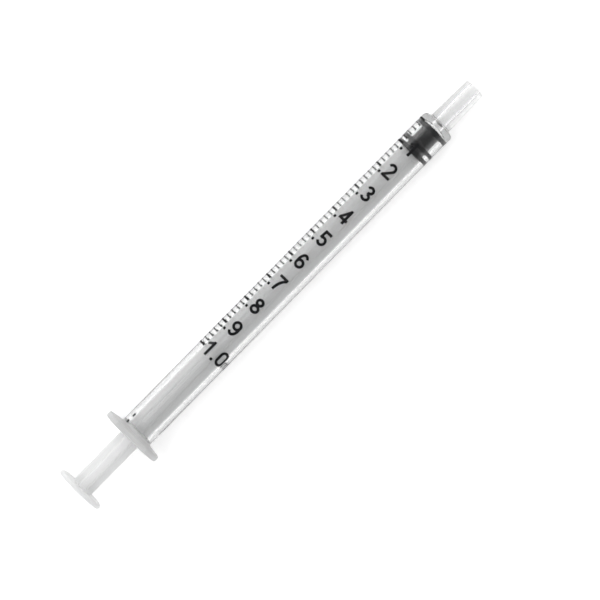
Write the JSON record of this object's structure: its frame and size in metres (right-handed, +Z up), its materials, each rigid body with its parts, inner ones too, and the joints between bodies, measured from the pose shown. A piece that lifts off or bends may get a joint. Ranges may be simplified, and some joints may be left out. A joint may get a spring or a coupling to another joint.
{
  "type": "luer slip syringe",
  "caption": "Slim disposable syringe with a plain tapered slip tip, a clear graduated barrel with a finger flange, a white cross-section plunger rod and a black ribbed rubber stopper.",
  "frame": {"origin": "centre of the slip tip's open end", "axes": "+X along the syringe's axis, out of the tip; +Z up, out of one flat of the finger flange; +Y along the flange's long side, on the side of the scale lines"},
  "size_m": [0.1039, 0.0124, 0.01],
  "materials": {
    "clear_plastic": "clear moulded polypropylene",
    "black_ink": "printed ink",
    "black_rubber": "siliconised rubber, satin",
    "white_plastic": "translucent white moulded polypropylene"
  },
  "bodies": {
    "barrel": {"barrel": "clear_plastic", "scale_lines": "black_ink"},
    "stopper": {"stopper": "black_rubber"},
    "plunger_rod": {"plunger_rod": "white_plastic"}
  },
  "joints": [
    {"name": "plunger_slide", "type": "slide", "parent": "barrel", "child": "stopper", "axis": [-1, 0, 0], "range_m": [0, 0.0687]},
    {"name": "rod_twist", "type": "hinge", "parent": "stopper", "child": "plunger_rod", "pos_m": [-0.0155, 0, 0], "axis": [1, 0, 0], "continuous": true}
  ]
}
